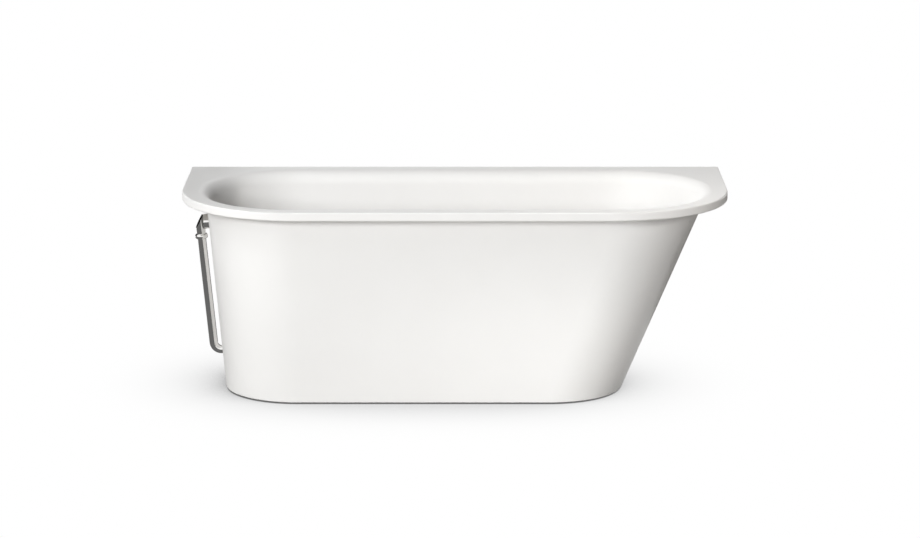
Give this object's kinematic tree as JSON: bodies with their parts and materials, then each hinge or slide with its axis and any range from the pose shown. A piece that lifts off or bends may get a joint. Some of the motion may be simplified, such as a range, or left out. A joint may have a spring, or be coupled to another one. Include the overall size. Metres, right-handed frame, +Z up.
{
  "type": "back-to-wall bathtub",
  "caption": "Single-ended bath with a D-shaped slab rim against the wall, a sloping backrest, a tapered skirt, an external overflow pipe, a lift-up plug and levelling feet.",
  "frame": {"origin": "on the floor, under the middle of the rim's outline", "axes": "+X along the bath from the waste end to the backrest, +Y to the wall behind it, +Z up"},
  "size_m": [1.65, 0.715, 0.6],
  "materials": {
    "cast_resin": "satin gloss",
    "polished_nickel": "polished",
    "brass": "turned",
    "rubber": "matte",
    "white_plastic": "moulded",
    "zinc_steel": "zinc plated"
  },
  "bodies": {
    "bath": {"bath_shell": "cast_resin", "overflow_elbow": "polished_nickel", "overflow_collar": "polished_nickel", "overflow_pipe": "polished_nickel", "overflow_cover": "polished_nickel", "overflow_bush": "polished_nickel", "waste_flange": "polished_nickel", "plug_cartridge": "brass", "foot_insert_front_left": "brass", "foot_insert_front_right": "brass", "foot_insert_back_left": "brass", "foot_insert_back_right": "brass", "overflow_outer_gasket": "rubber", "overflow_inner_gasket": "rubber", "overflow_cone_seal": "rubber", "pipe_grommet": "rubber", "waste_flange_gasket": "rubber", "tee_gasket": "rubber", "tee_inlet_seal": "rubber", "waste_tee": "white_plastic", "tee_inlet_nut": "white_plastic", "trap_inlet_nut": "white_plastic", "foot_locknut_front_left": "zinc_steel", "foot_locknut_front_right": "zinc_steel", "foot_locknut_back_left": "zinc_steel", "foot_locknut_back_right": "zinc_steel"},
    "plug": {"plug_cap": "polished_nickel", "plug_seal": "rubber", "plug_stem": "brass"},
    "trap": {"trap_lid": "white_plastic", "trap_body": "white_plastic", "trap_cup": "white_plastic", "trap_inlet_seal": "rubber", "trap_outlet_nut": "white_plastic", "trap_outlet_seal": "rubber"},
    "foot_front_left": {"foot_stud_front_left": "zinc_steel", "foot_pad_front_left": "zinc_steel", "foot_shoe_front_left": "rubber"},
    "foot_front_right": {"foot_stud_front_right": "zinc_steel", "foot_pad_front_right": "zinc_steel", "foot_shoe_front_right": "rubber"},
    "foot_back_left": {"foot_stud_back_left": "zinc_steel", "foot_pad_back_left": "zinc_steel", "foot_shoe_back_left": "rubber"},
    "foot_back_right": {"foot_stud_back_right": "zinc_steel", "foot_pad_back_right": "zinc_steel", "foot_shoe_back_right": "rubber"}
  },
  "joints": [
    {"name": "plug_lift", "type": "slide", "parent": "bath", "child": "plug", "axis": [0, 0, 1], "range_m": [0, 0.01]},
    {"name": "trap_swivel", "type": "hinge", "parent": "bath", "child": "trap", "pos_m": [-0.52, 0, 0.062], "axis": [0, 0, 1], "range_deg": [-30, 30]},
    {"name": "foot_front_left_level", "type": "slide", "parent": "bath", "child": "foot_front_left", "axis": [0, 0, 1], "range_m": [-0.02, 0.005]},
    {"name": "foot_front_right_level", "type": "slide", "parent": "bath", "child": "foot_front_right", "axis": [0, 0, 1], "range_m": [-0.02, 0.005]},
    {"name": "foot_back_left_level", "type": "slide", "parent": "bath", "child": "foot_back_left", "axis": [0, 0, 1], "range_m": [-0.02, 0.005]},
    {"name": "foot_back_right_level", "type": "slide", "parent": "bath", "child": "foot_back_right", "axis": [0, 0, 1], "range_m": [-0.02, 0.005]}
  ]
}
